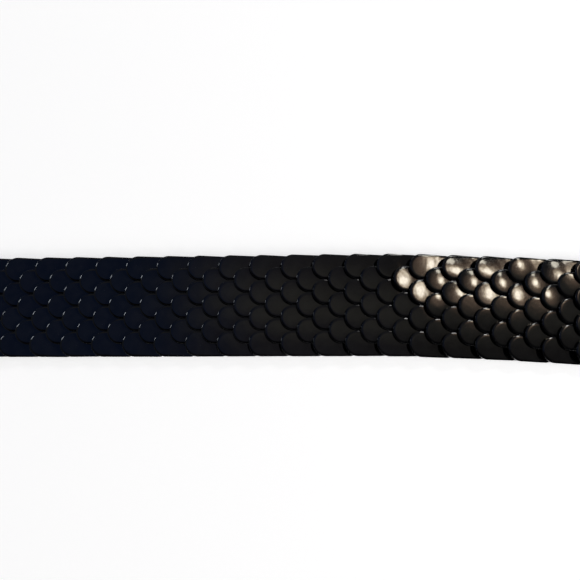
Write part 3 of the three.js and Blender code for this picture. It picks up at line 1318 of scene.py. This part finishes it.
@dataclass
class EyeHalf:
    """The clasp half that ends in a slotted frame.

    Attributes:
        line: The belt's course.
        plate: Its plate.
        width: Width of the frame.
        thickness: Its thickness.
        corner: Radius of its outer corners.
        slot_width: Width of the slot.
        slot_length: Length of the slot.
        slot_corner: Radius of the slot's corners.
        slot_start: Distance from the plate to the slot.
        join: How far the frame runs into the plate.
        edge: Radius of its rounded edges.
        support: Distance from a rounded edge to where the faces are flat.
        room_under: Room left for the hook's lower leg.
        room_over: Room left for its upper leg.
        tone: Tone of its enamel, from 0 to 1.
    """

    line: BeltLine
    plate: ClaspPlate = field(default_factory=lambda: ClaspPlate(pocket_height=3.15))
    width: float = 30.0
    thickness: float = 1.6
    corner: float = 3.0
    slot_width: float = 22.0
    slot_length: float = 9.0
    slot_corner: float = 0.6
    slot_start: float = 1.5
    join: float = 1.0
    edge: float = 0.4
    support: float = 0.3
    room_under: float = 1.1
    room_over: float = 1.2
    tone: float = 0.6

    def outer(self, shrink: float, z: float) -> Points:
        """A loop along the frame's outside.

        Args:
            shrink: How far it lies inside the outline.
            z: Its height.

        Returns:
            Its points.
        """
        length = self.line.reach + self.join
        width = self.width - 2 * shrink
        flat = rounded_rectangle(width, length - 2 * shrink, self.corner - shrink, segments=8, split=10)
        middle = (self.join - self.line.reach) / 2
        return np.column_stack([flat[:, 1] + middle, flat[:, 0], np.full(len(flat), z)])

    def slot(self, grow: float, z: float) -> Points:
        """A loop along the slot.

        Args:
            grow: How far it lies outside the slot.
            z: Its height.

        Returns:
            Its points.
        """
        width, length = self.slot_width + 2 * grow, self.slot_length + 2 * grow
        flat = rounded_rectangle(width, length, self.slot_corner + grow, segments=8, split=10)
        middle = -self.slot_start - self.slot_length / 2
        return np.column_stack([flat[:, 1] + middle, flat[:, 0], np.full(len(flat), z)])

    def frame_skin(self) -> Skin:
        """The slotted frame, with its far end towards -X.

        Returns:
            Its surface.
        """
        high = (self.room_under + self.plate.height - self.room_over) / 2
        half = self.thickness / 2
        steps = rounding(self.edge, ROUND_STEPS)
        flat_from = self.edge + self.support
        loops = []
        for side, first, second in ((1.0, self.outer, self.slot), (-1.0, self.slot, self.outer)):
            loops.extend(first(inset, high + side * (half - short)) for inset, short in steps)
            loops.append(first(flat_from, high + side * half))
            loops.append(second(flat_from, high + side * half))
            loops.extend(second(inset, high + side * (half - short)) for inset, short in steps[::-1])
        edge_rim = [0.8] * len(steps)
        return loft(loops, [*edge_rim, 0.1, 0.1, *edge_rim] * 2, closed_along=True)

    def build(self) -> bpy.types.Object:
        """Makes the clasp half in its place at the belt's end.

        Returns:
            The object.
        """
        skin = joined([self.plate.skin(), self.frame_skin()])
        middle = self.line.on_belt(np.array(self.line.end), np.array(0.0), np.array(0.0))
        skin.points = skin.points * np.array([-1.0, -1.0, 1.0])
        skin.points = skin.points + np.array([middle[0] - self.line.reach, middle[1], 0.0])
        return object_of("eye_half", skin, CAST_SHARP_FROM, {"tone": np.full(len(skin.points), self.tone)})

    def dress(self, made: bpy.types.Object, material: bpy.types.Material) -> None:
        """Gives the eye half its enamel and ties it to the model."""
        dress_clasp(made, material, "clasp_eye")


def dress_clasp(made: bpy.types.Object, material: bpy.types.Material, node: str) -> None:
    """Gives a clasp half its enamel and ties it to the model.

    Args:
        made: The clasp half.
        material: The enamel.
        node: The CAD node that it stands for.
    """
    made.data.materials.append(material)
    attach(made, "root")
    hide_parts(node)


# The studio


class LampShape(Enum):
    """Outlines that a lamp can have."""

    ROUND = "ELLIPSE"
    SQUARE = "RECTANGLE"

    @property
    def fill(self) -> float:
        """Share of its width times its height that shines."""
        return math.pi / 4 if self is LampShape.ROUND else 1.0


@dataclass(frozen=True)
class Lamp:
    """A flat lamp that faces the belt.

    Attributes:
        name: Its name.
        shape: Its outline.
        towards: Direction from the belt's middle to the lamp.
        distance: Distance to it, in metres.
        size: Its width and height, in metres.
        radiance: Brightness of its face.
        colour: Colour of its light.
    """

    name: str
    shape: LampShape
    towards: tuple[float, float, float]
    distance: float
    size: Span
    radiance: float
    colour: Colour

    @property
    def place(self) -> Vector:
        """Where it hangs, in metres."""
        return Vector(self.towards).normalized() * self.distance

    def build(self) -> bpy.types.Object:
        """Makes the lamp.

        Returns:
            The light object.
        """
        light = bpy.data.lights.new(self.name, "AREA")
        light.shape = self.shape.value
        light.size, light.size_y = self.size
        area = self.size[0] * self.size[1] * self.shape.fill
        light.energy = self.radiance * math.pi * area
        light.color = self.colour
        made = bpy.data.objects.new(self.name, light)
        made.location = self.place
        made.rotation_euler = Vector(self.towards).normalized().to_track_quat("Z", "Y").to_euler()
        made.visible_camera = False
        bpy.context.scene.collection.objects.link(made)
        return made


WARM_LAMP = Lamp(
    "warm_lamp", LampShape.ROUND, (0.870, 0.310, 0.985), 1.35, (0.062, 0.052), 6.0, (1.0, 0.97, 0.90)
)
LAMPS: tuple[Lamp, ...] = (
    WARM_LAMP,
    Lamp("warm_glow", LampShape.ROUND, (0.872, 0.315, 0.987), 1.37, (0.100, 0.080), 4.8, (1.0, 0.90, 0.72)),
    Lamp("warm_halo", LampShape.ROUND, (0.875, 0.320, 0.990), 1.39, (0.150, 0.100), 2.2, (1.0, 0.80, 0.55)),
    Lamp("high_lamp", LampShape.ROUND, (0.845, 0.442, 0.985), 1.37, (0.090, 0.064), 7.5, (1.0, 0.93, 0.78)),
    Lamp("cool_lamp", LampShape.SQUARE, (-1.100, 0.630, 0.790), 1.35, (0.27, 0.25), 4.5, (0.86, 0.93, 1.0)),
    Lamp("rim_lamp", LampShape.SQUARE, (0.500, 0.660, 0.560), 1.33, (0.28, 0.20), 12.0, (1.0, 0.98, 0.95)),
    Lamp("side_light", LampShape.SQUARE, (0.92, -0.25, 0.32), 1.7, (0.9, 0.6), 14.0, (1.0, 0.98, 0.95)),
)


@dataclass(frozen=True)
class Blend:
    """Two tones of the room, one on each side of a span.

    Attributes:
        span: Where the first goes over into the second.
        before: The first tone.
        after: The second tone.
    """

    span: Span
    before: Colour
    after: Colour

    def at(self, desk: NodeDesk, place: bpy.types.NodeSocket) -> bpy.types.NodeSocket:
        """The tone at a place along the span."""
        return desk.mixed(desk.ranged(place, *self.span), self.before, self.after)


@dataclass(frozen=True)
class Room:
    """The dim room that the enamel mirrors, with a pale backdrop behind the belt.

    Its tones go by the direction that they are seen in: x to the right, y to the side of the belt's upper
    edge and z up. A span says between which values of such a number a tone comes in or goes out.

    Attributes:
        left: Tones on the left, by x.
        right_span: Where the left goes over into the right, by x.
        right_dim: Tones on the right, by x.
        right_band: Tones of the brighter band there, by x.
        band_sink: How far the band sinks for each step to the right.
        band_in: Where the band comes in, by height.
        band_out: Where it goes out, by height.
        upper: Tones behind the upper edge, by x.
        upper_span: Where they come in, by y.
        warm: Tone of the warm glow.
        warm_centre: Direction of its middle.
        warm_span: Distances from it over which it goes out.
        dark: Tone of the dark side in front of the lower edge.
        dark_out: Where it goes out, by y.
        dark_slant: How much its left end leans with y.
        dark_left: Where that end lies, by leaning x.
        near: Tone low in front of the lower edge.
        near_out: Where it goes out, by y.
        low: Tone of the low walls behind.
        low_out: Where they go out, by z.
        low_in: Where they come in, by y.
        backdrop: Tone that the camera sees behind the floor.
    """

    left: Blend = Blend((-0.24, -0.16), (0.050, 0.056, 0.072), (0.028, 0.046, 0.112))
    right_span: Span = (0.07, 0.36)
    right_dim: Blend = Blend((0.35, 0.60), (0.078, 0.073, 0.086), (0.060, 0.056, 0.056))
    right_band: Blend = Blend((0.35, 0.60), (0.158, 0.151, 0.137), (0.122, 0.116, 0.102))
    band_sink: float = 0.11
    band_in: Span = (0.106, 0.181)
    band_out: Span = (0.181, 0.291)
    upper: Blend = Blend((-0.30, -0.14), (0.024, 0.038, 0.090), (0.074, 0.076, 0.084))
    upper_span: Span = (0.28, 0.40)
    warm: Colour = (1.04, 0.72, 0.52)
    warm_centre: tuple[float, float, float] = (0.613, 0.222, 0.758)
    warm_span: Span = (0.02, 0.13)
    dark: Colour = (0.004, 0.004, 0.006)
    dark_out: Span = (-0.12, 0.04)
    dark_slant: float = 0.25
    dark_left: Span = (-0.72, -0.52)
    near: Colour = (0.16, 0.165, 0.18)
    near_out: Span = (-0.90, -0.80)
    low: Colour = (0.20, 0.21, 0.23)
    low_out: Span = (0.05, 0.32)
    low_in: Span = (-0.6, -0.1)
    backdrop: Colour = (0.70, 0.70, 0.71)

    def tone(self, desk: NodeDesk) -> bpy.types.NodeSocket:
        """Lays out the tones by direction.

        Args:
            desk: Desk for the world's nodes.

        Returns:
            The room's tone.
        """
        towards = desk.add("TexCoord").outputs["Generated"]
        x, y, z = desk.add("SeparateXYZ", Vector=towards).outputs
        height = desk.math("ADD", y, desk.math("MULTIPLY", x, self.band_sink))
        band_in, band_out = desk.ranged(height, *self.band_in), desk.falling(height, *self.band_out)
        band = desk.math("MULTIPLY", band_in, band_out)
        right = desk.mixed(band, self.right_dim.at(desk, x), self.right_band.at(desk, x))
        level = desk.mixed(desk.ranged(x, *self.right_span), self.left.at(desk, x), right)
        overhead = desk.mixed(desk.ranged(y, *self.upper_span), level, self.upper.at(desk, x))
        away = desk.add("VectorMath", {"operation": "DISTANCE"}, in_0=towards, in_1=self.warm_centre)
        lit = desk.mixed(desk.falling(away.outputs["Value"], *self.warm_span), overhead, self.warm)
        leaning = desk.math("ADD", x, desk.math("MULTIPLY", y, self.dark_slant))
        dark = desk.math("MULTIPLY", desk.falling(y, *self.dark_out), desk.ranged(leaning, *self.dark_left))
        shaded = desk.mixed(dark, lit, self.dark)
        facing = desk.mixed(desk.falling(y, *self.near_out), shaded, self.near)
        low = desk.math("MULTIPLY", desk.falling(z, *self.low_out), desk.ranged(y, *self.low_in))
        return desk.mixed(low, facing, self.low)

    def build(self) -> None:
        """Makes the room."""
        world = bpy.data.worlds.new("room")
        world.use_nodes = True
        desk = NodeDesk(world.node_tree)
        seen = desk.add("LightPath").outputs["Is Camera Ray"]
        colour = desk.mixed(seen, self.tone(desk), self.backdrop)
        surface = desk.add("Background", Color=colour, Strength=1.0)
        desk.add("OutputWorld", Surface=surface.outputs[0])
        bpy.context.scene.world = world


@dataclass(frozen=True)
class Camera:
    """The camera at the photograph's angle.

    Attributes:
        target: Point that it looks at, in millimetres.
        distance: Distance from that point, in millimetres.
        yaw: Its turn towards the right, in degrees.
        pitch: Its turn towards the belt's lower edge, in degrees.
        roll: Its roll, in degrees.
        lens_pixels: Focal length in pixels of the picture.
        picture: Width of the picture in pixels.
        sensor: Width of the sensor, in millimetres.
        clip: Nearest and farthest distance that it sees, in metres.
    """

    target: tuple[float, float, float] = (5.11, 8.41, 3.0)
    distance: float = 232.4
    yaw: float = 3.35
    pitch: float = 10.0
    roll: float = 0.1
    lens_pixels: float = 622.0
    picture: int = 580
    sensor: float = 36.0
    clip: Span = (0.01, 60.0)

    @property
    def back(self) -> Vector:
        """Direction from its target to the camera."""
        yaw, pitch = math.radians(self.yaw), math.radians(self.pitch)
        return Vector((math.sin(yaw), -math.cos(yaw) * math.sin(pitch), math.cos(yaw) * math.cos(pitch)))

    @property
    def place(self) -> Vector:
        """Where it stands, in millimetres."""
        return Vector(self.target) + self.back * self.distance

    def build(self) -> bpy.types.Object:
        """Makes the camera.

        Returns:
            The camera object.
        """
        roll = math.radians(self.roll)
        right = Vector((0, 1, 0)).cross(self.back).normalized()
        up = self.back.cross(right)
        right, up = (
            right * math.cos(roll) + up * math.sin(roll),
            up * math.cos(roll) - right * math.sin(roll),
        )
        data = bpy.data.cameras.new("view")
        data.sensor_width = self.sensor
        data.lens = self.sensor * self.lens_pixels / self.picture
        data.clip_start, data.clip_end = self.clip
        made = bpy.data.objects.new("view", data)
        turned = Matrix((right, up, self.back)).transposed()
        made.matrix_world = Matrix.Translation(self.place * MM) @ turned.to_4x4()
        bpy.context.scene.collection.objects.link(made)
        bpy.context.scene.camera = made
        return made


@dataclass
class Studio:
    """Camera, floor, room and lamps.

    Attributes:
        camera: The camera.
        board: Finish of the floor.
        floor_size: Size of the floor, in metres.
        room: The room.
        lamps: The lamps.
    """

    camera: Camera = Camera()
    board: PaleBoard = PaleBoard("pale_board")
    floor_size: float = 14.0
    room: Room = Room()
    lamps: tuple[Lamp, ...] = LAMPS

    def build_floor(self) -> bpy.types.Object:
        """Makes the floor.

        Returns:
            The floor object.
        """
        half = self.floor_size / 2
        mesh = bpy.data.meshes.new("floor")
        corners = [(-half, -half, 0), (half, -half, 0), (half, half, 0), (-half, half, 0)]
        mesh.from_pydata(corners, [], [(0, 1, 2, 3)])
        mesh.materials.append(self.board.material())
        made = bpy.data.objects.new("floor", mesh)
        bpy.context.scene.collection.objects.link(made)
        return made

    def build(self) -> None:
        """Sets up the whole studio."""
        self.camera.build()
        self.build_floor()
        self.room.build()
        for lamp in self.lamps:
            lamp.build()
        view = bpy.context.scene.view_settings
        view.view_transform = "Standard"
        view.look = "None"


def report(name: str, pieces: Sequence[bpy.types.Object]) -> None:
    """Reports one sub-assembly through the log.

    Args:
        name: Name of the sub-assembly.
        pieces: Its objects.
    """
    for made in pieces:
        triangles = sum(len(face.vertices) - 2 for face in made.data.polygons)
        log.info("%s: %s, %d triangles", name, made.name, triangles)


def main() -> None:
    """Builds and dresses the belt, then the studio round it."""
    logging.basicConfig(level=logging.INFO, format="%(name)s: %(message)s")
    line = BeltLine()
    studio = Studio()

    scales = ScaleRows(line, np.array(studio.camera.place), np.array(WARM_LAMP.place) / MM)
    rows = scales.build()
    scales.dress(rows, Enamel("scale_enamel").material())
    report("scales", rows)

    band = ElasticBand(line)
    webbing = band.build()
    band.dress(webbing, WovenElastic("elastic_weave").material())
    report("band", [webbing])

    cast = Enamel(
        "cast_enamel",
        wear=0.4,
        ripple=5.0,
        ripple_height=0.01,
        peel=0.6,
        peel_height=0.0012,
    ).material()
    hook_half = HookHalf(line)
    hook = hook_half.build()
    hook_half.dress(hook, cast)
    eye_half = EyeHalf(line)
    eye = eye_half.build()
    eye_half.dress(eye, cast)
    report("clasp", [hook, eye])

    studio.build()


if __name__ == "__main__":
    main()
